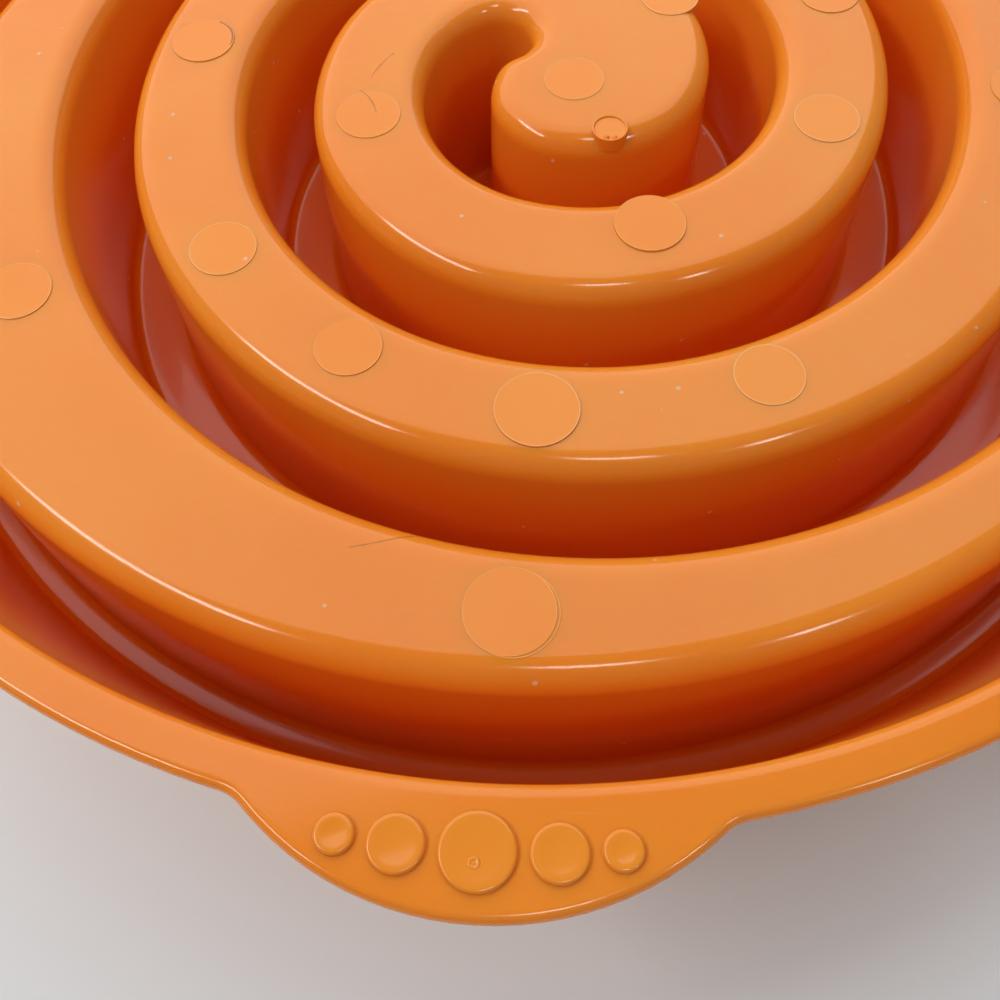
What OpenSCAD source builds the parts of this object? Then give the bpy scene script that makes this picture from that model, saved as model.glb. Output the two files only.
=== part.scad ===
// Slow feeder bowl: one hollow moulding with a spiral channel, and rubber feet.
// The bowl's axis is Z, the table is at zero, and the two tabs point along -Y and +Y.

/* [Bowl] */
// Diameter of the bowl over its round flange
bowl_d = 286; // [270:1:310]
// Height from the table to the top of the flange
bowl_h = 57; // [52:0.5:66]
// Wall thickness of the moulding
wall_t = 2.5; // [1.8:0.1:3]
// Width of the flange round the opening
flange_w = 6.5; // [5:0.1:9]
// Thickness of the flange and of the tabs
flange_t = 2.6; // [2:0.1:3.4]
// Height of the channel floors above the table
floor_h = 13; // [10:0.5:16]
// Draft of the ridge walls, in degrees
draft = 1.5; // [0.5:0.1:3]
// Lean of the outer wall, in degrees
lean = 9.8; // [8:0.1:11]
// Gap between the wall's lower edge and the table
skirt_gap = 2.5; // [1.5:0.1:4]

/* [Ridge] */
// Drop from the flange to the flat top of the ridge
ridge_drop = 4; // [2:0.5:10]
// Width of the ridge between its walls
ridge_w = 20.3; // [18:0.1:23]
// Radius of the channel's inner wall in its first quarter turn
start_wall_r = 6.6; // [6.2:0.1:8]
// Angle of the spiral's quarter turns about the axis, in degrees
spiral_turn = 74; // [0:1:360]
// Angle left out of the first quarter turn, in degrees
entry_turn = 45; // [30:15:60]
// Middle of the spiral to the right of the bowl's axis
spiral_x = 4.7; // [0:0.1:6]
// Middle of the spiral in front of the bowl's axis
spiral_y = 3.2; // [0:0.1:5]
// Width of the outer channel at the top
ring_gap = 13.7; // [12.5:0.1:16]
// Ridge left between the last turn and the outer channel
end_land = 4.5; // [3.5:0.1:8]
// Radius of the rounded top edges of the ridge
edge_round = 4.3; // [3.4:0.1:5]
// Radius where the walls meet the floors
floor_round = 1.6; // [1:0.1:2.2]
// Radius of the opening's rounded inner edge
lip_round = 1.8; // [1:0.1:2.2]

/* [Tabs] */
// Radius of each tab's round outline
tab_r = 43.4; // [38:0.1:50]
// How far each tab reaches past the flange
tab_reach = 10; // [6:0.5:14]
// Diameter of the middle disc on a tab
disc_big_d = 10; // [8:0.1:11]
// Diameter of the discs beside it
disc_mid_d = 7.6; // [6:0.1:8.4]
// Diameter of the end discs
disc_small_d = 5.4; // [4:0.1:6]
// Height of the discs
disc_rise = 0.8; // [0.4:0.1:1.2]

/* [Moulding marks] */
// Diameter of the large round marks on the ridge
mark_big_d = 13.1; // [11:0.1:14]
// Diameter of the small round marks on the ridge
mark_small_d = 11.4; // [9:0.1:12]
// Height of the round marks
mark_rise = 0.3; // [0.2:0.05:0.5]
// Diameter of the sprue mark on the island
sprue_d = 6.4; // [5:0.1:8]

/* [Feet] */
// Diameter of a rubber foot
foot_d = 11; // [9:0.1:12]
// Height of a foot below its boss
foot_h = 1.8; // [1.2:0.1:2.4]
// Diameter of the foot's stem
stem_d = 5.6; // [4:0.1:6]
// Length of the foot's stem
stem_l = 5.5; // [4:0.1:6]
// Angle from one foot to the next along the channel, in degrees
foot_step = 45; // [40:1:50]
// Angle from the channel's end back to the last foot, in degrees
foot_first = 8; // [4:1:30]

/* [Hidden] */
$fn = 96;
// Full turns of the spiral channel
turns = 3;
foot_count = 8;
foot_names = [for (i = [1 : foot_count]) str("foot_", i)];
plastic = "darkorange";
rubber = "dimgray";
// Overrun of a cut past the face it opens
over = 1;
// How far inside a round a straight side ends, so that the two cross
seam = 0.01;
// How much nearer the sides of the channel's round end are than the channel's
end_in = 0.1;
// Clearance between a stem and its socket, and at the socket's end
stem_clear = 0.1;
socket_deep = 0.5;
// Bevel at a foot's lower edge
foot_bevel = 0.6;
// Wall round a foot's socket boss, past the foot
boss_lip = 0.8;
// Depth of the sprue mark
sprue_deep = 0.4;
// Gap between the discs on a tab, and from the middle one to the tab's edge
disc_gap = 1.2;
disc_inset = 3.2;

opening_r = bowl_d / 2 - flange_w;
plateau_r = opening_r - ring_gap;
ridge_top = bowl_h - ridge_drop;
quarters = 4 * turns + 1;
// Each quarter turn of the spiral is one step wider than the quarter turn before it
step = (plateau_r - end_land + ridge_w - start_wall_r) / (quarters + 3);
turn_pitch = 4 * step;
gap = turn_pitch - ridge_w;
start_r = start_wall_r + gap / 2;
last_r = start_r + (quarters - 1) * step;
tan_d = tan(draft);
cos_d = cos(draft);
sin_d = sin(draft);
tan_l = tan(lean);
cos_l = cos(lean);
sin_l = sin(lean);

// Places along the spiral, in degrees, and across the ridge as a share of its width
mark_big_shares = [[912, 0], [552, 0], [752, 0]];
mark_small_shares = [
    [121, 0], [212, -0.15], [266, 0], [302, 0.1], [350, 0], [404, 0], [459, 0], [502, 0],
    [527, -0.07], [579, -0.1], [640, 0], [696, 0], [800, 0], [856, 0], [968, -0.18]];
// Places on the island, as shares of the pitch from the spiral's middle
mark_island_shares = [[-0.1, -0.13], [0.79, -0.54]];
sprue_shares = [-0.41, -0.43];

// Radius of the channel's middle line in quarter turn q
function channel_r(q) = start_r + q * step;
function polar(r, a) = [r * cos(a), r * sin(a)];
// Centre of quarter turn q, one of the four corners of a square round the spiral's middle
function centre(q) =
    let (corner = q % 4)
    [corner < 2 ? -step / 2 : step / 2, corner == 0 || corner == 3 ? step / 2 : -step / 2];
// A point beside the channel's middle line, a degrees along it
function spiral_point(a, beside) =
    let (q = floor(a / 90))
    centre(q) + polar(channel_r(q) + beside, a);

// Places what the spiral carries: its own axes are turned, and its middle is off the bowl's axis
module spiral_frame() {
    translate([spiral_x, -spiral_y, 0])
        rotate([0, 0, spiral_turn])
            children();
}

// Distance of the channel's wall from its middle line at height z, s deeper in the plastic
function side_x(z, s) = gap / 2 + s / cos_d - tan_d * (ridge_top - z);
// The same for the outer channel's two walls, from the bowl's axis
function inner_x(z, s) = plateau_r + tan_d * (ridge_top - z) - s / cos_d;
function outer_x(z, s) = opening_r - tan_l * (bowl_h - z) + s / cos_l;
// Where a straight side meets a round of radius r, just inside the round
function side_end(r, a) = polar(r - seam, a);

// Section of the spiral channel, s deeper in the plastic and open up to height top
module channel_section(s, top) {
    edge_z = ridge_top - edge_round;
    edge_x = side_x(edge_z, 0) + edge_round / cos_d;
    edge_r = edge_round - s;
    low_z = floor_h + floor_round;
    low_x = side_x(low_z, 0) - floor_round / cos_d;
    low_r = floor_round + s;
    half = [
        [low_x, low_z - low_r],
        [low_x, low_z] + side_end(low_r, -draft),
        [edge_x, edge_z] + side_end(edge_r, 180 - draft),
        [edge_x, edge_z],
        [edge_x, top]];
    difference() {
        union() {
            polygon(concat(half, [for (i = [4 : -1 : 0]) [-half[i][0], half[i][1]]]));
            for (side = [-1, 1])
                translate([side * low_x, low_z])
                    circle(low_r);
        }
        for (side = [-1, 1])
            translate([side * edge_x, edge_z])
                circle(edge_r);
    }
}

// Half the section of the channel's round end: a hair narrower, with two bevels at the floor
module end_section(s, top) {
    edge_z = ridge_top - edge_round;
    edge_x = side_x(edge_z, 0) + edge_round / cos_d - end_in;
    edge_r = edge_round - s;
    low_z = floor_h + floor_round;
    low_x = side_x(low_z, 0) - floor_round / cos_d - end_in;
    low_r = floor_round + s;
    difference() {
        polygon([
            [0, top],
            [0, low_z - low_r],
            [low_x, low_z - low_r],
            [low_x, low_z] + polar(low_r, -45),
            [low_x, low_z] + polar(low_r, -draft),
            [edge_x, edge_z] + side_end(edge_r, 180 - draft),
            [edge_x, edge_z],
            [edge_x, top]]);
        translate([edge_x, edge_z])
            circle(edge_r);
    }
}

// Section from the bowl's axis over the ridge's top and down the outer channel, as air
module bowl_section(top) {
    low_z = floor_h + floor_round;
    low_x = outer_x(low_z, 0) - floor_round / cos_l;
    ridge_side(0, top, [
        [low_x, floor_h],
        [low_x, low_z] + side_end(floor_round, -lean),
        [outer_x(top, 0), top]]);
    translate([low_x, low_z])
        circle(floor_round);
}

// The same one wall thickness deeper, with the wall's lower edge down towards the table
module shell_section() {
    under_z = floor_h - wall_t;
    ridge_side(wall_t, bowl_h, [
        [outer_x(under_z, 0), under_z],
        [outer_x(skirt_gap, 0), skirt_gap],
        [outer_x(skirt_gap, wall_t), skirt_gap],
        [outer_x(bowl_h, wall_t), bowl_h]]);
}

// Ridge's top and side, s deeper in the plastic, closed by the points of the outer wall
module ridge_side(s, top, wall) {
    edge_z = ridge_top - edge_round;
    edge_x = inner_x(edge_z, 0) - edge_round / cos_d;
    edge_r = edge_round - s;
    low_z = floor_h + floor_round;
    low_x = inner_x(low_z, 0) + floor_round / cos_d;
    low_r = floor_round + s;
    difference() {
        polygon(concat(
            [[0, top], [0, ridge_top - s], [edge_x, ridge_top - s], [edge_x, edge_z]],
            [[edge_x, edge_z] + side_end(edge_r, draft)],
            [[low_x, low_z] + side_end(low_r, 180 + draft), [low_x, low_z - low_r]],
            wall));
        translate([edge_x, edge_z])
            circle(edge_r);
    }
    translate([low_x, low_z])
        circle(low_r);
}

// The opening's rounded inner edge, as what it takes away
module lip_section() {
    lip_z = bowl_h - lip_round;
    lip_x = outer_x(lip_z, 0) + (lip_round - seam) / cos_l;
    difference() {
        translate([lip_x - 2 * lip_round, lip_z + lip_round * sin_l])
            square([2 * lip_round, lip_round + over]);
        translate([lip_x, lip_z])
            circle(lip_round);
    }
}

// Channel with the section above, along the spiral from its round end to its mouth
module channel(s, top) {
    for (q = [0 : quarters - 1])
        translate(centre(q))
            rotate([0, 0, 90 * (q + 1)])
                rotate_extrude(angle = q == 0 ? entry_turn - 90 : -90)
                    translate([channel_r(q), 0])
                        channel_section(s, top);
    translate(centre(0))
        rotate([0, 0, entry_turn])
            translate([channel_r(0), 0])
                rotate_extrude()
                    end_section(s, top);
}

// Straight run that leads the channel's last turn out into the outer channel
module mouth(s, top) {
    run = sqrt(pow(opening_r, 2) - pow(last_r, 2));
    intersection() {
        spiral_frame()
            translate(centre(quarters - 1))
                rotate([0, 0, 90 * quarters])
                    translate([last_r, 0])
                        rotate([90, 0, 180])
                            linear_extrude(run)
                                channel_section(s, top);
        cylinder(r = (inner_x(floor_h, 0) + outer_x(floor_h, 0)) / 2, h = top);
    }
}

// Flat ring or disc with a round outer edge
module rim_disc(inner, outer) {
    edge = flange_t / 2;
    rotate_extrude() {
        translate([inner, bowl_h - flange_t])
            square([outer - edge - inner, flange_t]);
        translate([outer - edge, bowl_h - edge])
            circle(edge);
    }
}

module tab_discs() {
    out = bowl_d / 2 + tab_reach;
    line_r = out - disc_inset - disc_big_d / 2;
    sizes = [disc_small_d, disc_mid_d, disc_big_d, disc_mid_d, disc_small_d];
    // Distance along the tab from the middle disc to the others
    near = disc_big_d / 2 + disc_gap + disc_mid_d / 2;
    far = near + disc_mid_d / 2 + disc_gap + disc_small_d / 2;
    spots = [-far, -near, 0, near, far];
    for (i = [0 : 4])
        rotate([0, 0, spots[i] / line_r * 180 / PI - 90])
            translate([line_r, 0, bowl_h - flange_t / 2])
                cylinder(d = sizes[i], h = flange_t / 2 + disc_rise);
}

module tab() {
    translate([0, tab_r - bowl_d / 2 - tab_reach, 0])
        rim_disc(0, tab_r);
    tab_discs();
}

function foot_spot(i) = spiral_point(90 * quarters - foot_first - foot_step * (i - 1), 0);

module foot_boss() {
    cylinder(d = foot_d + 2 * boss_lip, h = floor_h - wall_t / 2 - foot_h);
}

module foot_socket() {
    translate([0, 0, -over])
        cylinder(d = stem_d + 2 * stem_clear, h = stem_l + socket_deep + over);
}

module marks() {
    for (m = mark_big_shares)
        translate(spiral_point(m[0], turn_pitch / 2 + m[1] * ridge_w))
            mark(mark_big_d);
    for (m = mark_small_shares)
        translate(spiral_point(m[0], turn_pitch / 2 + m[1] * ridge_w))
            mark(mark_small_d);
    for (m = mark_island_shares)
        translate(m * turn_pitch)
            mark(mark_small_d);
}

module mark(d) {
    translate([0, 0, ridge_top - wall_t / 2])
        cylinder(d = d, h = wall_t / 2 + mark_rise);
}

module bowl_shell() {
    color(plastic)
        difference() {
            union() {
                difference() {
                    union() {
                        rotate_extrude()
                            shell_section();
                        spiral_frame()
                            channel(wall_t, ridge_top - wall_t / 2);
                        mouth(wall_t, ridge_top - wall_t / 2);
                        rim_disc(opening_r - wall_t, bowl_d / 2);
                        tab();
                        rotate([0, 0, 180])
                            tab();
                        spiral_frame()
                            for (i = [1 : foot_count])
                                translate(foot_spot(i))
                                    translate([0, 0, foot_h])
                                        foot_boss();
                    }
                    rotate_extrude()
                        bowl_section(bowl_h + 2 * over);
                    rotate_extrude()
                        lip_section();
                    spiral_frame()
                        channel(0, bowl_h);
                    mouth(0, bowl_h);
                }
                spiral_frame()
                    marks();
            }
            spiral_frame()
                translate(sprue_shares * turn_pitch)
                    translate([0, 0, ridge_top - sprue_deep])
                        cylinder(d = sprue_d, h = bowl_h);
            spiral_frame()
                for (i = [1 : foot_count])
                    translate(foot_spot(i))
                        translate([0, 0, foot_h])
                            foot_socket();
        }
}

module foot(i) {
    color(rubber)
        spiral_frame()
            translate(foot_spot(i)) {
                rotate_extrude()
                    polygon([
                        [0, 0],
                        [foot_d / 2 - foot_bevel, 0],
                        [foot_d / 2, foot_bevel],
                        [foot_d / 2, foot_h],
                        [0, foot_h]]);
                translate([0, 0, foot_h / 2])
                    cylinder(d = stem_d, h = foot_h / 2 + stem_l);
            }
}

bowl_shell();
for (i = [1 : foot_count]) foot(i);
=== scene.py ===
import math
import bpy
import numpy as np
from mathutils import Matrix, Vector
from mathutils.geometry import tessellate_polygon


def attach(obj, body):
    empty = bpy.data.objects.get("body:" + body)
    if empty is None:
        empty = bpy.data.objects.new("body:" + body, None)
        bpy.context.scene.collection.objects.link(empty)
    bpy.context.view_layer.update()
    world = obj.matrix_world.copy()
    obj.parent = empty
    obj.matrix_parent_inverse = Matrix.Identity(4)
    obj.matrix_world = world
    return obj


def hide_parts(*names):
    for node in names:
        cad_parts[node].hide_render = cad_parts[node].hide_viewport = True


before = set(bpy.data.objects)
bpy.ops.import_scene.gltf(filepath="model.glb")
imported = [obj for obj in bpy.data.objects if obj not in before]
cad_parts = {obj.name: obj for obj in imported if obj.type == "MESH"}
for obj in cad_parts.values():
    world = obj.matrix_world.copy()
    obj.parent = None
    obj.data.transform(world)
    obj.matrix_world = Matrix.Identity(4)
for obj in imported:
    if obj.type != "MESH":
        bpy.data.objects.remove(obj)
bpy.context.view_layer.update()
print("frame loaded:", len(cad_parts), "solids")

mm = 0.001
tiny = 1e-9  # angles and lengths closer than this are the same
mergeWidth = 2e-5  # points closer than this, in millimetres, are one
holdWidth = 0.4  # strips beside a round that keep the flat next to it flat in the shading
wallHold = 1.5 * holdWidth
holdShare = 0.3  # beside a small round the strip is this share of its radius

# lengths are in millimetres and angles in degrees
bowl = {
    "rimRadius": 143.0, "openingRadius": 136.5, "plateauRadius": 122.8,
    "height": 57.0, "ridgeTop": 53.0, "floorTop": 13.0, "skirtGap": 2.5,
    "wall": 2.5, "flange": 2.6, "draft": 1.5, "lean": 9.8,
    "ridgeWidth": 20.3, "endLand": 4.5, "edgeRound": 4.3, "floorRound": 1.6, "lipRound": 1.8,
}
spiral = {
    "middle": (4.7, -3.2), "turn": 74.0, "startRadius": 12.95, "quarters": 13, "entry": 45.0,
    # step between the sections of the channel, and the finer ones where the last ridge runs out: from, to, step
    "stationStep": 2.0, "fineStations": (90, 130, 0.5),
    "floorShares": (0.25, 0.5, 0.75),  # points across the channel's floor
    # steps of the ridges' top edge, the same edge underneath, the edge at the floor and the round end
    "topSteps": 8, "underSteps": 5, "floorSteps": 4, "endSteps": 36,
}

spiralReach = bowl["plateauRadius"] - bowl["endLand"] + bowl["ridgeWidth"] / 2 - spiral["startRadius"]
quarterStep = spiralReach / (spiral["quarters"] + 1)
pitch = 4 * quarterStep
halfGap = (pitch - bowl["ridgeWidth"]) / 2
lastAngle = 90.0 * spiral["quarters"]


def direction(degrees):
    a = np.radians(degrees)
    return np.stack([np.cos(a), np.sin(a)], -1)


def quarterCentre(q):
    # one of the four corners of a square, one quarter step wide, round the spiral's middle
    corner = direction(spiral["turn"] + 135.0 + 90.0 * np.asarray(q))
    return np.array(spiral["middle"]) + quarterStep / math.sqrt(2) * corner


def channelRadius(q):
    return spiral["startRadius"] + np.asarray(q) * quarterStep


def besideChannel(a, across):
    # the point at an angle along the spiral, this far across from the channel's middle line
    q = int(a // 90)
    return quarterCentre(q) + (channelRadius(q) + across) * direction(spiral["turn"] + a)


def onRays(centre, ray, reach, height):
    # points at a reach along each ray from its centre, with their heights
    spots = np.atleast_2d(centre)[:, None, :] + np.asarray(reach)[..., None] * ray[:, None, :]
    return np.concatenate([spots, np.broadcast_to(height, spots.shape[:2])[..., None]], -1)


def ridgeSide(deep, edgeSteps):
    # profile from the flat top's end, round the top edge, down the drafted wall and round to the floor:
    # distance past the wall's top line and height, moved deep into the plastic
    draft = math.radians(bowl["draft"])
    edgeR, floorR = bowl["edgeRound"], bowl["floorRound"]
    edgeZ, floorZ = bowl["ridgeTop"] - edgeR, bowl["floorTop"] + floorR
    edgeD = math.tan(draft) * edgeR - edgeR / math.cos(draft)
    floorD = math.tan(draft) * (bowl["ridgeTop"] - floorZ) + floorR / math.cos(draft)
    top = direction(np.linspace(90, bowl["draft"], edgeSteps + 1))
    low = direction(np.linspace(bowl["draft"], 90, spiral["floorSteps"] + 1))
    d = np.concatenate([edgeD + (edgeR - deep) * top[:, 0], floorD - (floorR + deep) * low[:, 0]])
    z = np.concatenate([edgeZ + (edgeR - deep) * top[:, 1], floorZ - (floorR + deep) * low[:, 1]])
    # two more points on the wall, close to the rounds above and below it
    k = edgeSteps
    share = wallHold / (z[k] - z[k + 1])
    hold = np.array([share, 1 - share])
    return (np.insert(d, k + 1, d[k] + hold * (d[k + 1] - d[k])),
            np.insert(z, k + 1, z[k] + hold * (z[k + 1] - z[k])))


def toCircle(centre, ray, radius):
    # distance along each ray from its centre to a circle about the bowl's axis
    along = (centre * ray).sum(-1)
    across = centre[..., 0] * ray[..., 1] - centre[..., 1] * ray[..., 0]
    return -along[..., None] + np.sqrt(radius ** 2 - across[..., None] ** 2)


def toMouthLine(centre, ray, across):
    # distance along each ray from its centre to a line beside the mouth's straight middle line
    lastQuarter, ahead = spiral["quarters"] - 1, direction(spiral["turn"] + lastAngle)
    reach = channelRadius(lastQuarter) + across - ((centre - quarterCentre(lastQuarter)) @ ahead)[:, None]
    return reach / np.maximum((ray @ ahead)[:, None], tiny)


def towardsMiddle(edge, middle):
    # a point one hold width in from the flat's edge, and never past half the way to its middle
    return edge + np.sign(middle - edge) * np.minimum(holdWidth, np.abs(middle - edge) / 2)


def meetAtCrest(inner, outer, z, landFoot=None):
    # two sides of a ridge, level by level: above the level where they cross they run together in one crest
    # line, and where they never part the crest lies on the floor at landFoot
    rows, levels = np.arange(len(inner)), np.arange(len(z))
    width = outer - inner
    first = np.where((width >= 0).any(1), (width >= 0).argmax(1), len(z))
    k = np.clip(first, 1, len(z) - 1)
    before, after = width[rows, k - 1], width[rows, k]
    share = np.clip(-before / np.where(np.abs(after - before) < tiny, 1, after - before), 0, 1)
    crest = inner[rows, k - 1] + share * (inner[rows, k] - inner[rows, k - 1])
    crestZ = z[k - 1] + share * (z[k] - z[k - 1])
    if landFoot is not None:
        gone = first == len(z)
        crest, crestZ = np.where(gone, landFoot, crest), np.where(gone, z[-1], crestZ)
    flat = first == 0
    cut = (levels < first[:, None]) & ~flat[:, None]
    heights = np.where(cut, crestZ[:, None], z)
    middle = np.where(flat, (inner[:, 0] + outer[:, 0]) / 2, crest)
    middleZ = np.where(flat, z[0], crestZ)
    inner, outer = (np.where(cut, crest[:, None], side) for side in (inner, outer))
    return inner, outer, heights, middle, middleZ


def stationAngles():
    # degrees along the spiral at which the channel's section stands
    steps = [np.arange(0, 360, spiral["stationStep"]), np.arange(*spiral["fineStations"]), [spiral["entry"]]]
    turn = np.unique(np.round(np.concatenate(steps), 6))
    a = np.concatenate([turn + 360 * k for k in range(math.ceil(lastAngle / 360))])
    return a[(a >= spiral["entry"]) & (a <= lastAngle)]


def spiralSkin(deep, edgeSteps):
    # the channel carried along the spiral: on the ray of each station, centre + (radius + across) * direction;
    # the last turn's outer side, the mouth and the land beside it are measured along the same rays
    d, z = ridgeSide(deep, edgeSteps)
    t = halfGap - d
    topZ, floorZ = bowl["ridgeTop"] - deep, bowl["floorTop"] - deep
    floorShare = np.array(spiral["floorShares"])
    a = stationAngles()
    q = np.maximum(np.floor_divide(a - tiny, 90).astype(int), 0)
    centre, ray, radius = quarterCentre(q), direction(spiral["turn"] + a), channelRadius(q)

    # the last ridge ends at the outer channel or, beside the mouth, at the mouth's straight side
    last = a >= lastAngle - 360
    lastCentre, lastRay, lastRadius = centre[last], ray[last], radius[last]
    nearMouth = a[last] <= lastAngle - 270 + tiny
    mouthCentre, mouthRay = lastCentre[nearMouth], lastRay[nearMouth]
    ring = toCircle(lastCentre, lastRay, bowl["plateauRadius"] + d)
    outer = ring.copy()
    outer[nearMouth] = np.minimum(toMouthLine(mouthCentre, mouthRay, -t), ring[nearMouth])
    inner, outer, heights, middle, middleZ = meetAtCrest(lastRadius[:, None] + t, outer, z)
    holdZ = np.where(middleZ < topZ - tiny, middleZ, topZ)

    # the channel itself, from the ridge inside it to the ridge outside it
    hold = t[0] + holdWidth
    section = np.concatenate([[0, -hold], -t, (2 * floorShare - 1) * t[-1], t[::-1], [hold, pitch / 2]])
    sectionZ = np.concatenate([[topZ, topZ], z, floorZ + 0 * floorShare, z[::-1], [topZ, topZ]])
    across, height = np.tile(section, (len(a), 1)), np.tile(sectionZ, (len(a), 1))
    across[:, 0] = np.where(a < spiral["entry"] + 360 - tiny, -hold, -pitch / 2)
    outside = slice(-len(z) - 2, -2)
    across[last, outside] = (inner - lastRadius[:, None])[:, ::-1]
    height[last, outside] = heights[:, ::-1]
    across[last, -2], height[last, -2] = towardsMiddle(inner[:, 0], middle) - lastRadius, holdZ
    across[last, -1], height[last, -1] = middle - lastRadius, middleZ
    channel = onRays(centre, ray, radius[:, None] + across, height)

    # the last ridge's outer side
    outward = onRays(lastCentre, lastRay, np.column_stack([middle, towardsMiddle(outer[:, 0], middle), outer]),
                     np.column_stack([middleZ, holdZ, heights]))

    # the mouth's floor and the land between it and the outer channel
    foot, mouthRing = outer[nearMouth][:, -1], ring[nearMouth]
    landIn, landOut, landHeights, crest, crestZ = meetAtCrest(
        toMouthLine(mouthCentre, mouthRay, t), mouthRing, z, mouthRing[:, -1])
    crestHoldZ = np.where(crestZ < topZ - tiny, crestZ, topZ)
    floorReach = foot[:, None] + (landIn[:, -1] - foot)[:, None] * floorShare
    floorHeights = np.full((len(foot), 1 + len(floorShare)), floorZ)
    inHold, outHold = towardsMiddle(landIn[:, 0], crest), towardsMiddle(landOut[:, 0], crest)
    mouth = onRays(mouthCentre, mouthRay, np.column_stack([foot, floorReach, landIn[:, ::-1], inHold, crest]),
                   np.column_stack([floorHeights, landHeights[:, ::-1], crestHoldZ, crestZ]))
    land = onRays(mouthCentre, mouthRay, np.column_stack([crest, outHold, landOut]),
                  np.column_stack([crestZ, crestHoldZ, landHeights]))

    # the round end: half a turn of the channel's outer half about the end of its middle line
    spokes = direction(spiral["turn"] + spiral["entry"] - np.linspace(180, 0, spiral["endSteps"] + 1))
    endReach = np.concatenate([[0, (2 * floorShare[-1] - 1) * t[-1]], t[::-1], [hold]])
    endZ = np.concatenate([[floorZ, floorZ], z[::-1], [topZ]])
    roundEnd = onRays(besideChannel(spiral["entry"], 0), spokes, endReach, endZ)

    # the loop where the outer channel's floor starts, and the loop of the island's flat top
    late = a[last] >= lastAngle - 270 - tiny
    ringFoot = np.concatenate([outward[late][:, -1], land[1:, -1]])
    island = np.concatenate([channel[a <= spiral["entry"] + 360 + tiny][:, 0], roundEnd[:0:-1, -1]])
    return [channel, outward, mouth, land, roundEnd], ringFoot, island


def gridQuads(shape, closed=False):
    # the quads of a grid of points, its rows joined end to end where the form is closed
    rows, columns = shape
    i, j = np.meshgrid(np.arange(rows if closed else rows - 1), np.arange(columns - 1), indexing="ij")
    here, ahead = i * columns + j, (i + 1) % rows * columns + j
    return np.stack([here, here + 1, ahead + 1, ahead], -1).reshape(-1, 4)


def zipLoops(inner, outer):
    # triangles between two closed loops, made in the order of their points' angles about the axis
    angleIn, angleOut = (np.arctan2(loop[:, 1], loop[:, 0]) for loop in (inner, outer))
    orderIn, orderOut = np.argsort(angleIn), np.argsort(angleOut)
    a, b = angleIn[orderIn], angleOut[orderOut]
    aNext, bNext = np.append(a[1:], a[0] + 2 * np.pi), np.append(b[1:], b[0] + 2 * np.pi)
    n, m = len(a), len(b)
    atB = np.searchsorted(bNext, aNext, "right") % m
    atA = np.searchsorted(aNext, bNext, "left") % n
    return np.concatenate([np.stack([orderIn, n + orderOut[atB], np.roll(orderIn, -1)], 1),
                           np.stack([n + orderOut, n + np.roll(orderOut, -1), orderIn[atA]], 1)])


def fillFlat(loop):
    # a flat face inside a loop of points at one height, its triangles turned upward
    cells = np.array(tessellate_polygon([[Vector(p) for p in loop]]))
    a, b, c = (loop[cells[:, k], :2] for k in range(3))
    back = (b - a)[:, 0] * (c - a)[:, 1] - (b - a)[:, 1] * (c - a)[:, 0] < 0
    cells[back] = cells[back][:, ::-1]
    return loop, cells


def roundedLine(corners, radii, steps):
    # a line of corners, each inner one rounded to its radius by an arc, with a hold point beside each end of it
    corners = np.asarray(corners, float)
    share = np.linspace(0, 1, steps + 1)[:, None]
    line = [corners[:1]]
    for before, corner, after, radius in zip(corners[:-2], corners[1:-1], corners[2:], radii):
        u, v = before - corner, after - corner
        u, v = u / np.linalg.norm(u), v / np.linalg.norm(v)
        half = math.acos(np.clip(u @ v, -1, 1)) / 2
        reach = radius / math.tan(half)
        middle = corner + (u + v) / np.linalg.norm(u + v) * radius / math.sin(half)
        start, stop = corner + u * reach - middle, corner + v * reach - middle
        swing = math.pi - 2 * half
        arc = (np.sin((1 - share) * swing) * start + np.sin(share * swing) * stop) / math.sin(swing)
        hold = min(holdWidth, holdShare * radius)
        line += [(middle + start + u * hold)[None, :], middle + arc, (middle + stop + v * hold)[None, :]]
    line.append(corners[-1:])
    return np.concatenate(line)


def revolve(profile, centre, steps):
    # profile of (radius, height), running up its outside, turned about a vertical axis through centre
    points = onRays(centre, direction(np.arange(steps) * 360.0 / steps), profile[:, 0], profile[:, 1])
    return points, gridQuads(points.shape[:2], True), True


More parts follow.
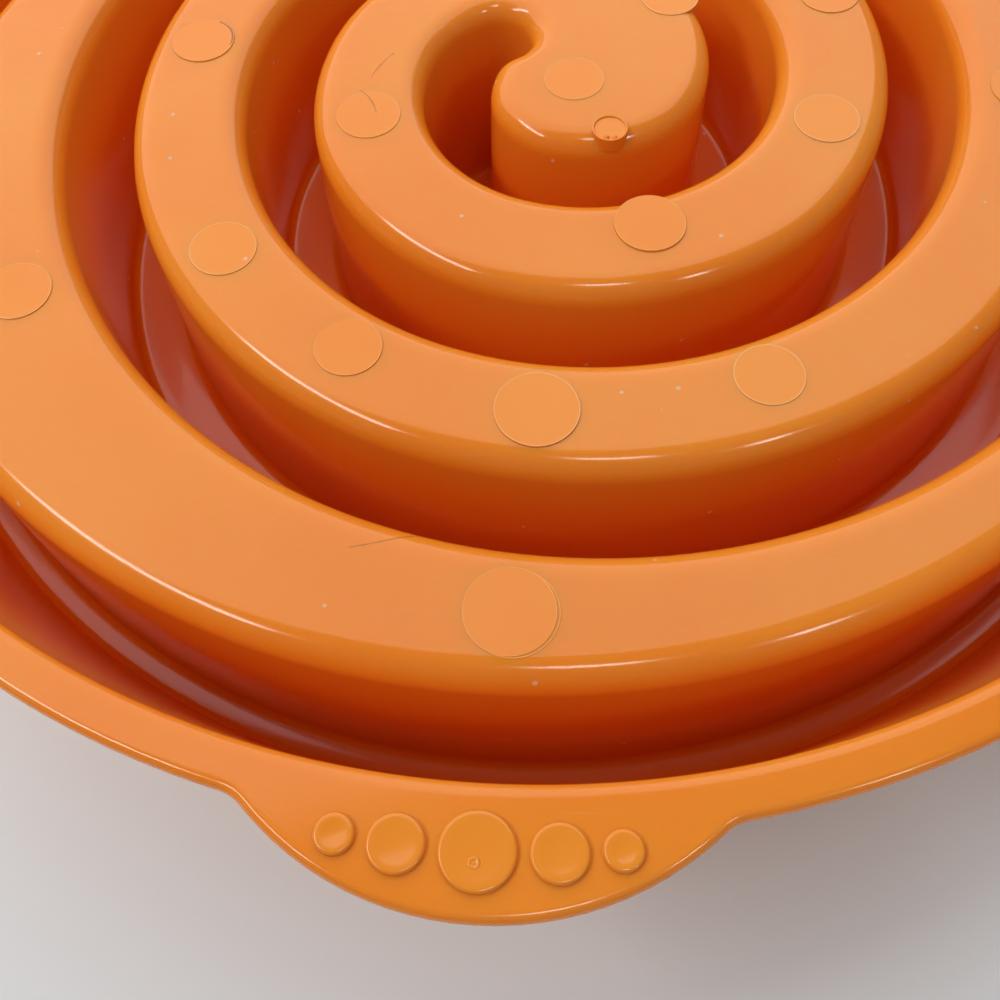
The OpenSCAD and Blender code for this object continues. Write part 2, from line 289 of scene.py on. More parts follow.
def buildPiece(name, parts, material):
    # parts are (points, faces, turned over): all points in millimetres are merged where they meet,
    # faces that lose corners become triangles or go
    points, faces, base = [], [], 0
    for vertices, cells, turned in parts:
        vertices = np.asarray(vertices, float).reshape(-1, 3)
        cells = np.asarray(cells) + base
        if cells.shape[1] == 3:
            cells = np.concatenate([cells, cells[:, :1]], 1)
        faces.append(cells[:, ::-1] if turned else cells)
        points.append(vertices)
        base += len(vertices)
    points, faces = np.concatenate(points), np.concatenate(faces)
    cell = np.round(points / mergeWidth).astype(np.int64)
    first, back = np.unique(cell, axis=0, return_index=True, return_inverse=True)[1:]
    faces = back.ravel()[faces]
    keep = faces != np.roll(faces, 1, 1)  # one of two equal neighbours in a face goes
    count = keep.sum(1)
    faces, keep, count = faces[count > 2], keep[count > 2], count[count > 2]
    mesh = bpy.data.meshes.new(name)
    mesh.vertices.add(len(first))
    mesh.vertices.foreach_set("co", (points[first] * mm).astype(np.float32).ravel())
    loops = faces[keep].astype(np.int32)
    mesh.loops.add(len(loops))
    mesh.loops.foreach_set("vertex_index", loops)
    mesh.polygons.add(len(count))
    mesh.polygons.foreach_set("loop_start", np.concatenate([[0], np.cumsum(count)[:-1]]).astype(np.int32))
    mesh.polygons.foreach_set("use_smooth", np.ones(len(count), bool))
    mesh.update(calc_edges=True)
    mesh.validate()
    piece = bpy.data.objects.new(name, mesh)
    bpy.context.scene.collection.objects.link(piece)
    mesh.materials.append(material)
    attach(piece, "root")
    # every edge of a closed piece belongs to two faces
    uses = np.zeros(len(mesh.loops), np.int32)
    mesh.loops.foreach_get("edge_index", uses)
    print(name, len(count), "faces,", int((np.bincount(uses) != 2).sum()), "open edges")
    return piece


camera = {
    "place": (7.07, -164.46, 189.3), "yaw": -6.12, "pitch": 62.83, "roll": -2.96,
    "lens": 37.8, "sensor": 36.0, "clipStart": 10.0,
}


def makeCamera():
    yaw, down, roll = (math.radians(camera[k]) for k in ("yaw", "pitch", "roll"))
    ahead = Vector((math.sin(yaw) * math.cos(down), math.cos(yaw) * math.cos(down), -math.sin(down)))
    side = Vector((math.cos(yaw), -math.sin(yaw), 0))
    over = side.cross(ahead)
    right = side * math.cos(roll) + over * math.sin(roll)
    up = over * math.cos(roll) - side * math.sin(roll)
    data = bpy.data.cameras.new("photoCamera")
    data.lens, data.sensor_width = camera["lens"], camera["sensor"]
    data.clip_start = camera["clipStart"] * mm
    eye = bpy.data.objects.new("photoCamera", data)
    bpy.context.scene.collection.objects.link(eye)
    turn = Matrix((right, up, -ahead)).transposed().to_4x4()
    eye.matrix_world = Matrix.Translation(Vector(camera["place"]) * mm) @ turn
    bpy.context.scene.camera = eye
    print("camera ready")


def newMaterial(name):
    # a material with its node tree and the inputs of its shader
    material = bpy.data.materials.new(name)
    material.use_nodes = True
    return material, material.node_tree, material.node_tree.nodes["Principled BSDF"].inputs


def feed(tree, socket, value):
    # a socket takes another node's output or a plain value
    if isinstance(value, bpy.types.NodeSocket):
        tree.links.new(value, socket)
    else:
        socket.default_value = value


def mathNode(tree, operation, a, b, clamp=False):
    node = tree.nodes.new("ShaderNodeMath")
    node.operation, node.use_clamp = operation, clamp
    feed(tree, node.inputs[0], a)
    feed(tree, node.inputs[1], b)
    return node.outputs[0]


lamps = {
    # azimuth from the front towards the right, elevation, distance in metres, width, height, watts
    "backPanel": (-160, 57, 0.44, 0.90, 0.60, 2.2),
    "leftWindow": (-68, 50, 1.3, 0.8, 0.13, 4.6),
    "frontLamp": (16, 64, 1.3, 0.24, 0.13, 1.2),
    "rightLamp": (48, 44, 1.3, 0.13, 0.12, 0.9),
}
room = {
    # the room's light, and how much brighter the camera sees its wall
    "colour": (0.95, 0.97, 1.0, 1), "strength": 0.18, "extraSeen": 0.57,
    # half the floor's width in metres
    "floorReach": 3.0, "floorColour": (0.84, 0.87, 0.88, 1), "floorRoughness": 0.7,
}


def makeLight():
    for name, (azimuth, elevation, distance, width, height, watts) in lamps.items():
        a, e = math.radians(azimuth), math.radians(elevation)
        out = Vector((math.sin(a) * math.cos(e), -math.cos(a) * math.cos(e), math.sin(e)))
        data = bpy.data.lights.new(name, "AREA")
        data.shape, data.size, data.size_y, data.energy = "RECTANGLE", width, height, watts
        lamp = bpy.data.objects.new(name, data)
        bpy.context.scene.collection.objects.link(lamp)
        lamp.location = out * distance
        lamp.visible_camera = False
        lamp.rotation_euler = (-out).to_track_quat("-Z", "Y").to_euler()
    world = bpy.data.worlds.new("room")
    bpy.context.scene.world = world
    world.use_nodes = True
    tree = world.node_tree
    wall = tree.nodes["Background"].inputs
    wall["Color"].default_value = room["colour"]
    seen = tree.nodes.new("ShaderNodeLightPath").outputs["Is Camera Ray"]
    extra = mathNode(tree, "MULTIPLY", seen, room["extraSeen"])
    feed(tree, wall["Strength"], mathNode(tree, "ADD", room["strength"], extra))
    print(len(lamps), "lamps and the room's light ready")


def makeFloor():
    r = room["floorReach"]
    mesh = bpy.data.meshes.new("floor")
    mesh.from_pydata([(-r, -r, 0), (r, -r, 0), (r, r, 0), (-r, r, 0)], [], [(0, 1, 2, 3)])
    floor = bpy.data.objects.new("floor", mesh)
    bpy.context.scene.collection.objects.link(floor)
    paper, tree, face = newMaterial("palePaper")
    feed(tree, face["Base Color"], room["floorColour"])
    feed(tree, face["Roughness"], room["floorRoughness"])
    mesh.materials.append(paper)


def nodeGroup(name, inputs, outputs):
    # an empty shader node group: vector and number sockets in, number sockets out
    group = bpy.data.node_groups.new(name, "ShaderNodeTree")
    for kind, labels in inputs.items():
        for label in labels:
            group.interface.new_socket(label, in_out="INPUT", socket_type=kind)
    for label in outputs:
        group.interface.new_socket(label, in_out="OUTPUT", socket_type="NodeSocketFloat")
    return group, group.nodes.new("NodeGroupInput").outputs, group.nodes.new("NodeGroupOutput").inputs


def useGroup(tree, group, values):
    # a group placed in a material, with that material's own values
    node = tree.nodes.new("ShaderNodeGroup")
    node.node_tree = group
    for label, value in values.items():
        feed(tree, node.inputs[label], value)
    return node.outputs


def vectorNode(tree, operation, a, b=None, scale=None):
    node = tree.nodes.new("ShaderNodeVectorMath")
    node.operation = operation
    for key, value in ((0, a), (1, b), ("Scale", scale)):
        if value is not None:
            feed(tree, node.inputs[key], value)
    return node.outputs["Value" if operation in ("LENGTH", "DOT_PRODUCT") else "Vector"]


def ramp(tree, value, low, high, bottom=0.0, top=1.0):
    # a smooth step of value, from bottom at low to top at high
    node = tree.nodes.new("ShaderNodeMapRange")
    node.interpolation_type = "SMOOTHSTEP"
    labels = ("Value", "From Min", "From Max", "To Min", "To Max")
    for label, number in zip(labels, (value, low, high, bottom, top)):
        feed(tree, node.inputs[label], number)
    return node.outputs[0]


def noise(tree, place, scale, detail=2.0):
    node = tree.nodes.new("ShaderNodeTexNoise")
    for label, value in (("Vector", place), ("Scale", scale), ("Detail", detail)):
        feed(tree, node.inputs[label], value)
    return node.outputs["Fac"]


def mix(tree, factor, a, b):
    # a colour between a and b
    node = tree.nodes.new("ShaderNodeMix")
    node.data_type = "RGBA"
    for label, value in (("Factor", factor), ("A", a), ("B", b)):
        feed(tree, next(i for i in node.inputs if i.name == label and i.enabled), value)
    return next(o for o in node.outputs if o.enabled)


def addBump(tree, face, relief, look):
    node = tree.nodes.new("ShaderNodeBump")
    feed(tree, node.inputs["Strength"], look["peelStrength"])
    feed(tree, node.inputs["Distance"], look["peelHeight"] * mm)
    feed(tree, node.inputs["Height"], relief)
    feed(tree, face["Normal"], node.outputs[0])


wearLook = {
    # noise scales are per metre; each pair is where a smooth step starts and ends
    "cloudScale": 16.0, "cloudDetail": 3.0,
    "scuffTurns": (0.3, 1.4, 2.5), "scuffStretch": 26.0, "scuffStep": (0.71, 0.79),
    "dustScale": 330.0, "dustStep": (0.16, 0.08), "dustChosen": (0.965, 0.97),
    "breakScale": 420.0, "breakStep": (0.3, 0.6), "thinnest": 0.45,
}


def makeScratch():
    # one thin scratch on a flat face: the distance in plan from the line between two points, which is bowed
    # sideways by 4 * bow * share * (1 - share), against a width that noise breaks up
    group, inside, out = nodeGroup("scratch", {"NodeSocketVector": ("Place", "Start", "End"),
                                               "NodeSocketFloat": ("Bow", "Width")}, ("Mask",))
    flat = vectorNode(group, "MULTIPLY", inside["Place"], (1, 1, 0))
    reach = vectorNode(group, "SUBTRACT", inside["End"], inside["Start"])
    fromStart = vectorNode(group, "SUBTRACT", flat, inside["Start"])
    share = mathNode(group, "DIVIDE", vectorNode(group, "DOT_PRODUCT", fromStart, reach),
                     vectorNode(group, "DOT_PRODUCT", reach, reach))
    held = mathNode(group, "MINIMUM", mathNode(group, "MAXIMUM", share, 0.0), 1.0)
    arch = mathNode(group, "MULTIPLY", held, mathNode(group, "SUBTRACT", 1.0, held))
    sideways = mathNode(group, "MULTIPLY", arch, mathNode(group, "MULTIPLY", inside["Bow"], 4.0))
    side = vectorNode(group, "NORMALIZE", vectorNode(group, "CROSS_PRODUCT", reach, (0, 0, 1)))
    bowed = vectorNode(group, "ADD", vectorNode(group, "SCALE", reach, scale=held),
                       vectorNode(group, "SCALE", side, scale=sideways))
    distance = vectorNode(group, "LENGTH", vectorNode(group, "SUBTRACT", fromStart, bowed))
    breaks = noise(group, flat, wearLook["breakScale"])
    width = mathNode(group, "MULTIPLY", inside["Width"],
                     ramp(group, breaks, *wearLook["breakStep"], wearLook["thinnest"]))
    feed(group, out["Mask"], mathNode(group, "SUBTRACT", 1.0, mathNode(group, "DIVIDE", distance, width), True))
    return group


def makeWear():
    # a moulding in use: slow colour change, fine scuffs in three directions, specks of dust and a faint peel
    group, inside, out = nodeGroup("surfaceWear", {"NodeSocketVector": ("Place",),
                                                   "NodeSocketFloat": ("Peel scale", "Scuff scale")},
                                   ("Cloud", "Scuffs", "Dust", "Peel"))
    place, scuffs = inside["Place"], 0.0
    for turn in wearLook["scuffTurns"]:
        lay = group.nodes.new("ShaderNodeMapping")
        feed(group, lay.inputs["Vector"], place)
        feed(group, lay.inputs["Rotation"], (0, 0, turn))
        feed(group, lay.inputs["Scale"], (1, wearLook["scuffStretch"], 1))
        hair = ramp(group, noise(group, lay.outputs[0], inside["Scuff scale"]), *wearLook["scuffStep"])
        scuffs = mathNode(group, "MAXIMUM", scuffs, hair)
    specks = group.nodes.new("ShaderNodeTexVoronoi")
    feed(group, specks.inputs["Vector"], place)
    feed(group, specks.inputs["Scale"], wearLook["dustScale"])
    pick = group.nodes.new("ShaderNodeTexWhiteNoise")
    feed(group, pick.inputs["Vector"], specks.outputs["Position"])
    dust = mathNode(group, "MULTIPLY", ramp(group, specks.outputs["Distance"], *wearLook["dustStep"]),
                    ramp(group, pick.outputs["Value"], *wearLook["dustChosen"]))
    feed(group, out["Cloud"], noise(group, place, wearLook["cloudScale"], wearLook["cloudDetail"]))
    feed(group, out["Scuffs"], scuffs)
    feed(group, out["Dust"], dust)
    feed(group, out["Peel"], noise(group, place, inside["Peel scale"]))
    return group


plasticLook = {
    # the well colour is painted shade: the deeper red that is painted low in the channels
    "light": (0.90, 0.285, 0.024, 1), "deep": (0.88, 0.25, 0.016, 1), "paintedShade": (0.88, 0.15, 0.006, 1),
    # the rubbed colour is a painted highlight: the paler orange of the flash rings round the mould marks
    "scuffed": (0.90, 0.36, 0.09, 1), "paintedHighlight": (0.95, 0.46, 0.16, 1), "dust": (0.80, 0.62, 0.45, 1),
    "scratched": (0.10, 0.035, 0.01, 1),
    # smooth steps: from deep to light, heights over which the painted shade in the channels fades out, and how
    # far below the ridge tops wear starts and is whole, then the wall's own thickness, in shares of it
    "cloudStep": (0.35, 0.65), "paintedShadeStep": (26.0, 51.5), "wornStep": (7.0, 1.0), "outsideStep": (0.3, 0.7),
    "scuffShare": 0.35, "dustShare": 0.6,
    "roughness": 0.11, "cloudRoughness": 0.05, "scuffRoughness": 0.16,
    "peelScale": 260.0, "scuffScale": 90.0, "peelStrength": 0.35, "peelHeight": 0.03,
    "scratchDepth": 1.6, "scuffDepth": 0.3,  # in heights of the peel, and in depths of a scratch
    "refraction": 1.49, "glow": 0.55, "glowRadius": (1.0, 0.25, 0.05), "glowScale": 4.0,
    # scratches seen on the ridges: start, end, bow, width, then how dark, with pale ones below zero
    "scratches": [((-21.5, -103.5), (-6.8, -97.4), 0.8, 0.20, 0.55),
                  ((-32.0, -97.0), (-36.5, -114.0), 0.5, 0.18, -0.25),
                  ((-26.0, -2.0), (-29.5, -8.5), 0.3, 0.22, 0.6),
                  ((-31.0, -12.0), (-27.5, -17.5), -0.5, 0.24, 0.6),
                  ((-60.2, 5.2), (-57.2, -1.0), -1.3, 0.34, 0.8),
                  ((33.0, 7.0), (40.5, 8.4), 0.3, 0.18, 0.35)],
}


def orangePlastic(name, light, deep, glow):
    # light and deep name the two colours of the slow change; glow is the share of light that passes inside
    look = plasticLook
    material, tree, face = newMaterial(name)
    place = tree.nodes.new("ShaderNodeTexCoord").outputs["Object"]
    worn = useGroup(tree, surfaceWear, {"Place": place, "Peel scale": look["peelScale"],
                                        "Scuff scale": look["scuffScale"]})
    split = tree.nodes.new("ShaderNodeSeparateXYZ")
    feed(tree, split.inputs[0], place)
    height = split.outputs["Z"]
    onRidge = ramp(tree, height, *((bowl["ridgeTop"] - below) * mm for below in look["wornStep"]))
    colour = mix(tree, ramp(tree, worn["Cloud"], *look["cloudStep"]), look[deep], look[light])

    # painted shade: low in the channels the colour turns a deeper red than on the ridge tops and the outside of
    # the wall, standing in for the shade and the red bounced light deep in the channels
    lean = math.tan(math.radians(bowl["lean"]))
    wallFoot = bowl["openingRadius"] - lean * bowl["height"]
    fromAxis = vectorNode(tree, "LENGTH", vectorNode(tree, "MULTIPLY", place, (1, 1, 0)))
    past = mathNode(tree, "SUBTRACT", fromAxis, mathNode(tree, "MULTIPLY", height, lean))
    outside = ramp(tree, past, *((wallFoot + share * bowl["wall"]) * mm for share in look["outsideStep"]))
    outOfPaintedShade = mathNode(tree, "MAXIMUM", outside, ramp(tree, height, *(z * mm for z in look["paintedShadeStep"])))
    colour = mix(tree, outOfPaintedShade, look["paintedShade"], colour)
    onTop = mathNode(tree, "MULTIPLY", worn["Scuffs"], mathNode(tree, "MULTIPLY", onRidge, look["scuffShare"]))
    colour = mix(tree, onTop, colour, look["scuffed"])
    colour = mix(tree, mathNode(tree, "MULTIPLY", worn["Dust"], look["dustShare"]), colour, look["dust"])

    darkLines, paleLines = 0.0, 0.0
    for start, end, bow, width, darkness in look["scratches"]:
        one = useGroup(tree, scratch, {"Place": place, "Bow": bow * mm, "Width": width * mm,
                                       "Start": (start[0] * mm, start[1] * mm, 0),
                                       "End": (end[0] * mm, end[1] * mm, 0)})
        line = mathNode(tree, "MULTIPLY", mathNode(tree, "MULTIPLY", one["Mask"], abs(darkness)), onRidge)
        if darkness > 0:
            darkLines = mathNode(tree, "MAXIMUM", darkLines, line)
        else:
            paleLines = mathNode(tree, "MAXIMUM", paleLines, line)
    colour = mix(tree, darkLines, colour, look["scratched"])
    feed(tree, face["Base Color"], mix(tree, paleLines, colour, look["scuffed"]))

    marked = mathNode(tree, "MAXIMUM", darkLines, paleLines)
    dull = mathNode(tree, "MULTIPLY", mathNode(tree, "MAXIMUM", onTop, marked), look["scuffRoughness"])
    cloudy = mathNode(tree, "MULTIPLY", worn["Cloud"], look["cloudRoughness"])
    feed(tree, face["Roughness"], mathNode(tree, "ADD", mathNode(tree, "ADD", look["roughness"], dull), cloudy))
    grooves = mathNode(tree, "MAXIMUM", marked, mathNode(tree, "MULTIPLY", onTop, look["scuffDepth"]))
    grooves = mathNode(tree, "MULTIPLY", grooves, look["scratchDepth"])
    addBump(tree, face, mathNode(tree, "SUBTRACT", worn["Peel"], grooves), look)
    face["IOR"].default_value = look["refraction"]
    face["Subsurface Weight"].default_value = glow
    face["Subsurface Radius"].default_value = look["glowRadius"]
    face["Subsurface Scale"].default_value = look["glowScale"] * mm
    return material


rubberLook = {
    "black": (0.022, 0.022, 0.024, 1), "worn": (0.055, 0.053, 0.05, 1),
    "cloudStep": (0.3, 0.7), "roughness": (0.55, 0.75),
    "peelScale": 1500.0, "scuffScale": 200.0, "peelStrength": 0.5, "peelHeight": 0.06,
}


def darkRubber():
    look = rubberLook
    material, tree, face = newMaterial("darkRubber")
    place = tree.nodes.new("ShaderNodeTexCoord").outputs["Object"]
    worn = useGroup(tree, surfaceWear, {"Place": place, "Peel scale": look["peelScale"],
                                        "Scuff scale": look["scuffScale"]})
    feed(tree, face["Base Color"], mix(tree, worn["Scuffs"], look["black"], look["worn"]))
    feed(tree, face["Roughness"], ramp(tree, worn["Cloud"], *look["cloudStep"], *look["roughness"]))
    addBump(tree, face, worn["Peel"], look)
    return material


tab = {
    "radius": 43.4, "reach": 10.0, "blend": 7.0,
    # where the outline has its points, in degrees from the middle of a tab: from, to, step
    "stations": [(0, 90, 2.0), (0, 11, 1.0), (11, 16, 0.2)],
}
rimBand = {
    # where the flange's own edge starts outside the opening, and the band's reach over and under the floor
    "flatStart": 6.0, "overFloor": 2.6, "underFloor": 2.0,
    # roundings under the flange, outside and inside the skirt and under the floor, then the steps of all
    "rounds": [1.0, 0.7, 0.7, 0.6], "insideSteps": 8, "outsideSteps": 5, "edgeSteps": 12,
}


def rimOutline():
    # outline of the flange and its two tabs by angle about the axis: the flange's circle, the tab's circle and,
    # where they meet, a blend circle that touches both from outside; with the outward direction at each point
    fromTab = np.unique(np.round(np.concatenate([np.arange(*stretch) for stretch in tab["stations"]]), 6))
    fromTab = np.concatenate([-fromTab[:0:-1], fromTab])
    angles = np.unique(np.round(np.concatenate([fromTab - 90, fromTab + 90]) % 360, 6))
    ray = direction(angles)
    away = np.abs((angles + 180) % 180 - 90)  # degrees from the nearer tab
    r0, r1, rb = bowl["rimRadius"], tab["radius"], tab["blend"]
    off = r0 + tab["reach"] - r1
    sideways = np.sign(np.sin(np.radians(angles)))
    forward = np.sign(np.cos(np.radians(angles)) + tiny)
    tabMiddle = np.stack([0 * angles, sideways * off], 1)
    cosBlend = ((r0 + rb) ** 2 + off ** 2 - (r1 + rb) ** 2) / (2 * (r0 + rb) * off)
    blendAngle = math.degrees(math.acos(cosBlend))
    blendMiddle = (r0 + rb) * np.stack([forward * math.sin(math.radians(blendAngle)), sideways * cosBlend], 1)
    touch = tabMiddle + (blendMiddle - tabMiddle) * r1 / (r1 + rb)
    touchAngle = np.degrees(np.arctan2(np.abs(touch[:, 0]), np.abs(touch[:, 1])))
    onTab, onBlend = away <= touchAngle, (away > touchAngle) & (away < blendAngle)

    def alongRay(middle, radius, side):
        # distance along each ray to the far or near side of a circle
        across = middle[:, 0] * ray[:, 1] - middle[:, 1] * ray[:, 0]
        return (middle * ray).sum(1) + side * np.sqrt(np.maximum(radius ** 2 - across ** 2, 0))

    reach = np.where(onTab, alongRay(tabMiddle, r1, 1), np.where(onBlend, alongRay(blendMiddle, rb, -1), r0))
    point = reach[:, None] * ray
    outward = np.where(onBlend[:, None], (blendMiddle - point) / rb, ray)
    return ray, point, np.where(onTab[:, None], (point - tabMiddle) / r1, outward)


def rimAndWall():
    # the outer wall as one closed band: profiles of (radius, height) on each ray up to the flange's flat,
    # then the flange's rounded edge carried along its outline, and back down outside round the skirt to the
    # floor's underside
    lean = math.tan(math.radians(bowl["lean"]))
    wall = bowl["wall"] / math.cos(math.radians(bowl["lean"]))
    height, floorTop, skirt = bowl["height"], bowl["floorTop"], bowl["skirtGap"]
    under, underFloor = height - bowl["flange"], floorTop - bowl["wall"]
    flatStart = bowl["openingRadius"] + rimBand["flatStart"]

    def inside(z):
        return bowl["openingRadius"] - lean * (height - z)

    up = roundedLine([(inside(floorTop) - rimBand["overFloor"], floorTop), (inside(floorTop), floorTop),
                      (inside(height), height), (flatStart, height)],
                     [bowl["floorRound"], bowl["lipRound"]], rimBand["insideSteps"])[2:-1]
    down = roundedLine([(flatStart, under), (inside(under) + wall, under), (inside(skirt) + wall, skirt),
                        (inside(skirt), skirt), (inside(underFloor), underFloor),
                        (inside(underFloor) - rimBand["underFloor"], underFloor)],
                       rimBand["rounds"], rimBand["outsideSteps"])[1:-1]
    ray, point, outward = rimOutline()
    edge = bowl["flange"] / 2
    swing = np.radians(np.linspace(90, -90, rimBand["edgeSteps"] + 1))
    sink = np.concatenate([[edge + holdWidth], edge - edge * np.cos(swing), [edge + holdWidth]])
    edgeZ = np.concatenate([[height], height - edge + edge * np.sin(swing), [under]])
    rim = np.concatenate([point[:, None, :] - sink[None, :, None] * outward[:, None, :],
                          np.broadcast_to(edgeZ[:, None], (len(ray), len(edgeZ), 1))], -1)
    return np.concatenate([onRays((0, 0), ray, up[:, 0], up[:, 1]), rim,
                           onRays((0, 0), ray, down[:, 0], down[:, 1])], 1)


def makeShell():
    # the upper skin and, turned over and one wall deeper, the lower one, each joined to an edge of the band
    band = rimAndWall()
    parts = [(band, gridQuads(band.shape[:2], True), False)]
    for deep, edgeSteps, bandEdge, turned in ((0.0, spiral["topSteps"], band[:, 0], False),
                                              (bowl["wall"], spiral["underSteps"], band[:, -1], True)):
        grids, ringFoot, island = spiralSkin(deep, edgeSteps)
        parts += [(grid, gridQuads(grid.shape[:2]), turned) for grid in grids]
        parts.append((np.concatenate([ringFoot, bandEdge]), zipLoops(ringFoot, bandEdge), turned))
        parts.append((*fillFlat(island), turned))
    shell = buildPiece("shell", parts, plastic)
    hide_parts("bowl_shell")


discForm = {
    "rimWidth": 2.2,  # in radii of the rim's edge
    "footRound": 0.05, "roundSteps": 5, "dishSteps": 8,
}
tabDiscs = {
    "diameters": [5.4, 7.6, 10.0, 7.6, 5.4], "gap": 1.2, "inset": 3.2, "sunk": 1.0, "rise": 0.8,
    "dish": 0.13, "edge": 0.5, "draft": 0.12, "steps": 72,
    # the small mark of the gate on the middle disc: its profile is shares of its radius with heights
    "gateDiameter": 1.7, "gateOff": (-0.3, -1.4), "gateSteps": 32,
    "gateProfile": [(0, -0.3), (1, -0.3), (1, 0), (0.8, 0.096), (0.65, 0.12), (0.5, 0.072),
                    (0.3, -0.02), (0, -0.03)],
}


def discProfile(radius, base, top, look):
    # a low disc from its sunk base up its side, over a rounded rim and down into a shallow dish
    share = np.linspace(1, 0, discForm["dishSteps"] + 1)[1:]
    flat = radius - discForm["rimWidth"] * look["edge"]
    side = roundedLine([(0, base), (radius, base), (radius - look["draft"], top), (flat, top)],
                       [discForm["footRound"], look["edge"]], discForm["roundSteps"])
    return np.concatenate([side, np.stack([flat * share, top - look["dish"] * (1 - share ** 2)], 1)])


def makeTabDiscs():
    # an arc of five discs on each tab, at equal gaps
    look = tabDiscs
    small, middle, big = look["diameters"][:3]
    near = big / 2 + look["gap"] + middle / 2
    far = near + middle / 2 + look["gap"] + small / 2
    line = bowl["rimRadius"] + tab["reach"] - look["inset"] - big / 2
    base, top = bowl["height"] - look["sunk"], bowl["height"] + look["rise"]
    parts = []
    for front in (1, -1):
        for along, diameter in zip((-far, -near, 0, near, far), look["diameters"]):
            centre = line * direction(-90.0 * front + math.degrees(along / line))
            parts.append(revolve(discProfile(diameter / 2, base, top, look), centre, look["steps"]))
        gate = line * direction(-90.0 * front) + np.array(look["gateOff"]) * front
        crater = np.array(look["gateProfile"]) * (look["gateDiameter"] / 2, 1) + (0, top - look["dish"])
        parts.append(revolve(crater, gate, look["gateSteps"]))
    buildPiece("tabDiscs", parts, thinPlastic)


mouldMarks = {
    # degrees along the spiral, offset across the ridge as a share of its width, diameter and rise
    "onRidge": [(912, 0, 13.1, 0.10), (552, 0, 13.1, 0.30), (752, 0, 13.1, 0.25),
                (121, 0, 11.4, 0.14), (212, -0.15, 11.9, 0.30), (266, 0, 11.4, 0.18), (302, 0.1, 11.4, 0.2),
                (350, 0, 11.4, 0.2), (404, 0, 11.4, 0.2), (459, 0, 11.6, 0.22), (502, 0, 11.2, 0.16),
                (527, -0.07, 10.8, 0.18), (579, -0.1, 11.0, 0.16), (640, 0, 11.4, 0.2), (696, 0, 11.4, 0.2),
                (800, 0, 11.4, 0.2), (856, 0, 11.4, 0.2)],
    # place, diameter and rise
    "onIsland": [(7.9, -7.6, 10.8, 0.1), (25.6, 15.6, 11.0, 0.15)],
    "edge": 0.1, "dish": 0.02, "draft": 0.02, "steps": 96,
    "flashWidth": 0.22, "flashRise": 0.07, "flashDepth": 0.4, "flashSunk": 0.05, "flashSteps": 6,
    # a second ring beside the first mark: its offset and radius
    "secondRing": (0.42, -0.18, 6.62),
}


def flashRing(centre, radius, top):
    # a hair of flash round a mark: a half-round bead carried round its edge
    look, half = mouldMarks, mouldMarks["flashWidth"] / 2
    swing = np.radians(np.linspace(0, 180, look["flashSteps"] + 1))
    bead = np.stack([radius + half * np.cos(swing), top + look["flashRise"] * np.sin(swing)], 1)
    down = (0, look["flashDepth"])
    bead = np.concatenate([bead, bead[-1:] - down, bead[:1] - down, bead[:1]])
    return revolve(bead, centre, look["steps"])


def makeMarks():
    # flat round marks on the ridges and the island, each a low disc with a ring of flash round it
    look, top = mouldMarks, bowl["ridgeTop"]
    spots = [(besideChannel(a, pitch / 2 + share * bowl["ridgeWidth"]), diameter, rise)
             for a, share, diameter, rise in look["onRidge"]]
    spots += [(np.array((x, y)), diameter, rise) for x, y, diameter, rise in look["onIsland"]]
    base = top - bowl["wall"] / 2
    marks, rings = [], []
    for centre, diameter, rise in spots:
        profile = discProfile(diameter / 2, base, top + rise, look)
        marks.append(revolve(profile, centre, look["steps"]))
        rings.append(flashRing(centre, diameter / 2, top + rise - look["flashSunk"]))
    buildPiece("mouldMarks", marks, thinPlastic)
    x, y, radius = look["secondRing"]
    rings.append(flashRing(spots[0][0] + (x, y), radius, top))
    # the flash rings take the paler plastic, a painted highlight along them
    buildPiece("markRings", rings, paintedHighlight)


sprue = {
    "place": (14.6, -20.0), "diameter": 6.4, "sunk": 2.3, "floor": 0.04, "rise": 0.34, "lip": 0.42,
    "rounds": [0.05, 0.15, 0.15, 0.1], "roundSteps": 4, "steps": 72,
    # torn prongs: offset from its middle, radius and height
    "prongs": [(-0.55, -2.2, 0.8, 0.6), (0.9, -2.1, 0.7, 0.5), (0.1, 2.3, 1.1, 0.14)],
    # shares of a prong's radius from its foot to its tip, how deep it starts, how blunt it is
    "prongShares": [1.0, 0.92, 0.7, 0.4, 0.0], "prongSunk": 0.3, "prongBlunt": 0.7, "prongSteps": 10,
}


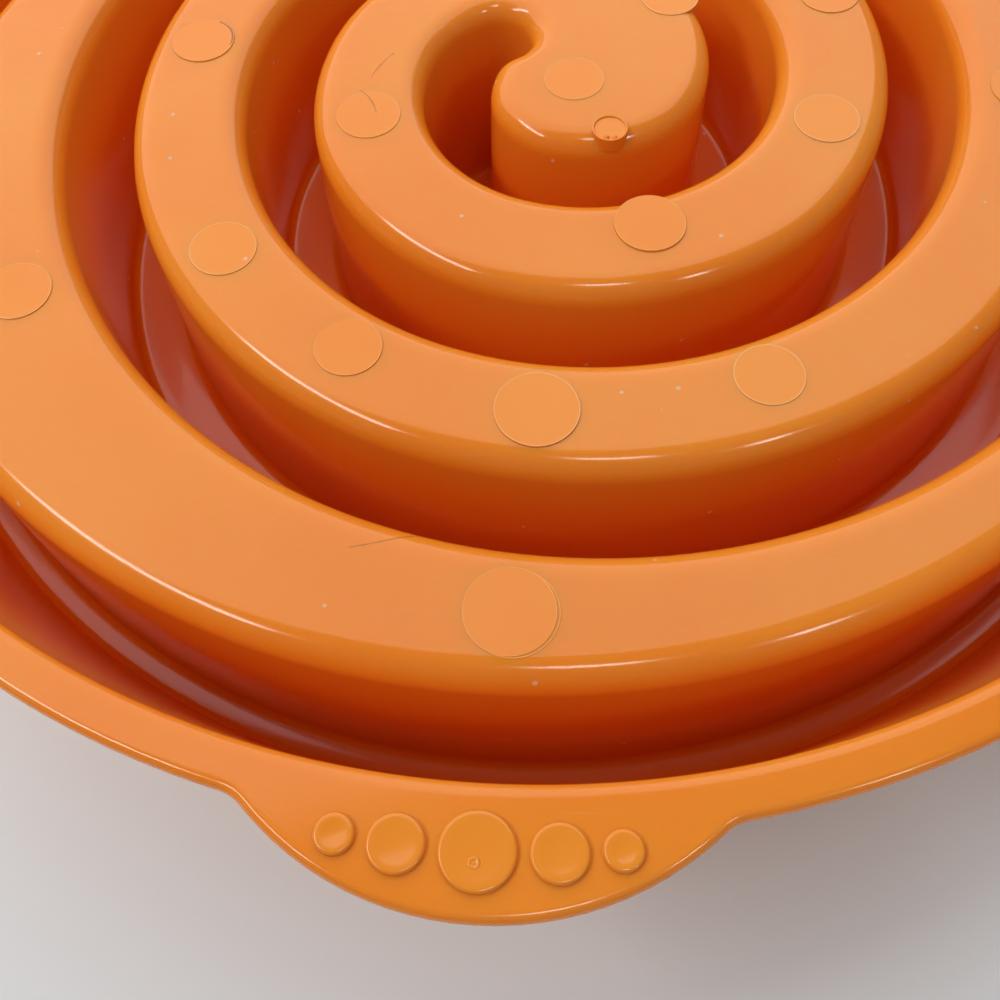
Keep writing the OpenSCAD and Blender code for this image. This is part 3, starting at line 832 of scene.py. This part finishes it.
def makeSprue():
    # the broken sprue: a profile of (radius, height) turned into a low cup with a thin rim, and blunt cones
    # for the prongs
    centre, radius, top = np.array(sprue["place"]), sprue["diameter"] / 2, bowl["ridgeTop"]
    base, floor, rim = top - sprue["sunk"], top + sprue["floor"], top + sprue["rise"]
    inside = radius - sprue["lip"]
    cup = roundedLine([(0, base), (radius, base), (radius, rim), (inside, rim), (inside, floor), (0, floor)],
                      sprue["rounds"], sprue["roundSteps"])
    parts = [revolve(cup, centre, sprue["steps"])]
    share, sunk = np.array(sprue["prongShares"]), sprue["prongSunk"]
    for x, y, size, tall in sprue["prongs"]:
        prong = np.stack([size * share, floor - sunk + (sunk + tall) * (1 - share) ** sprue["prongBlunt"]], 1)
        prong = np.concatenate([[(0, prong[0, 1])], prong])
        parts.append(revolve(prong, centre + (x, y), sprue["prongSteps"]))
    buildPiece("sprueStub", parts, thinPlastic)


footBosses = {
    "count": 8, "step": 45.0, "first": 8.0,
    "foot": 11.0, "lip": 0.8, "stem": 5.8, "socket": 6.0, "standoff": 1.8,
    "rounds": [0.2, 0.25, 0.4, 0.05], "roundSteps": 4, "steps": 64,
}


def makeBosses():
    # a boss with a socket over each foot, under the outermost turn of the channel: a turned profile
    look = footBosses
    radius, hole = look["foot"] / 2 + look["lip"], look["stem"] / 2
    bottom, end, top = look["standoff"], look["standoff"] + look["socket"], bowl["floorTop"] - bowl["wall"] / 2
    profile = roundedLine([(0, end), (hole, end), (hole, bottom), (radius, bottom), (radius, top), (0, top)],
                          look["rounds"], look["roundSteps"])
    angles = [lastAngle - look["first"] - look["step"] * k for k in range(look["count"])]
    buildPiece("footBosses", [revolve(profile, besideChannel(a, 0), look["steps"]) for a in angles], plastic)


bpy.context.scene.view_settings.view_transform = "Standard"
makeCamera()
makeLight()
makeFloor()

surfaceWear, scratch = makeWear(), makeScratch()
plastic = orangePlastic("orangePlastic", "light", "deep", plasticLook["glow"])
thinPlastic = orangePlastic("thinPlastic", "light", "deep", 0.0)  # pieces too thin for light to pass inside
# a paler copy of the plastic for the flash rings: a painted highlight
paintedHighlight = orangePlastic("paintedHighlightPlastic", "paintedHighlight", "light", 0.0)
rubber = darkRubber()
print("materials ready")

makeShell()
makeTabDiscs()
makeMarks()
makeSprue()
makeBosses()

for name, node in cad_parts.items():
    if name.startswith("foot"):
        node.data.materials.clear()
        node.data.materials.append(rubber)
print("feet finished")
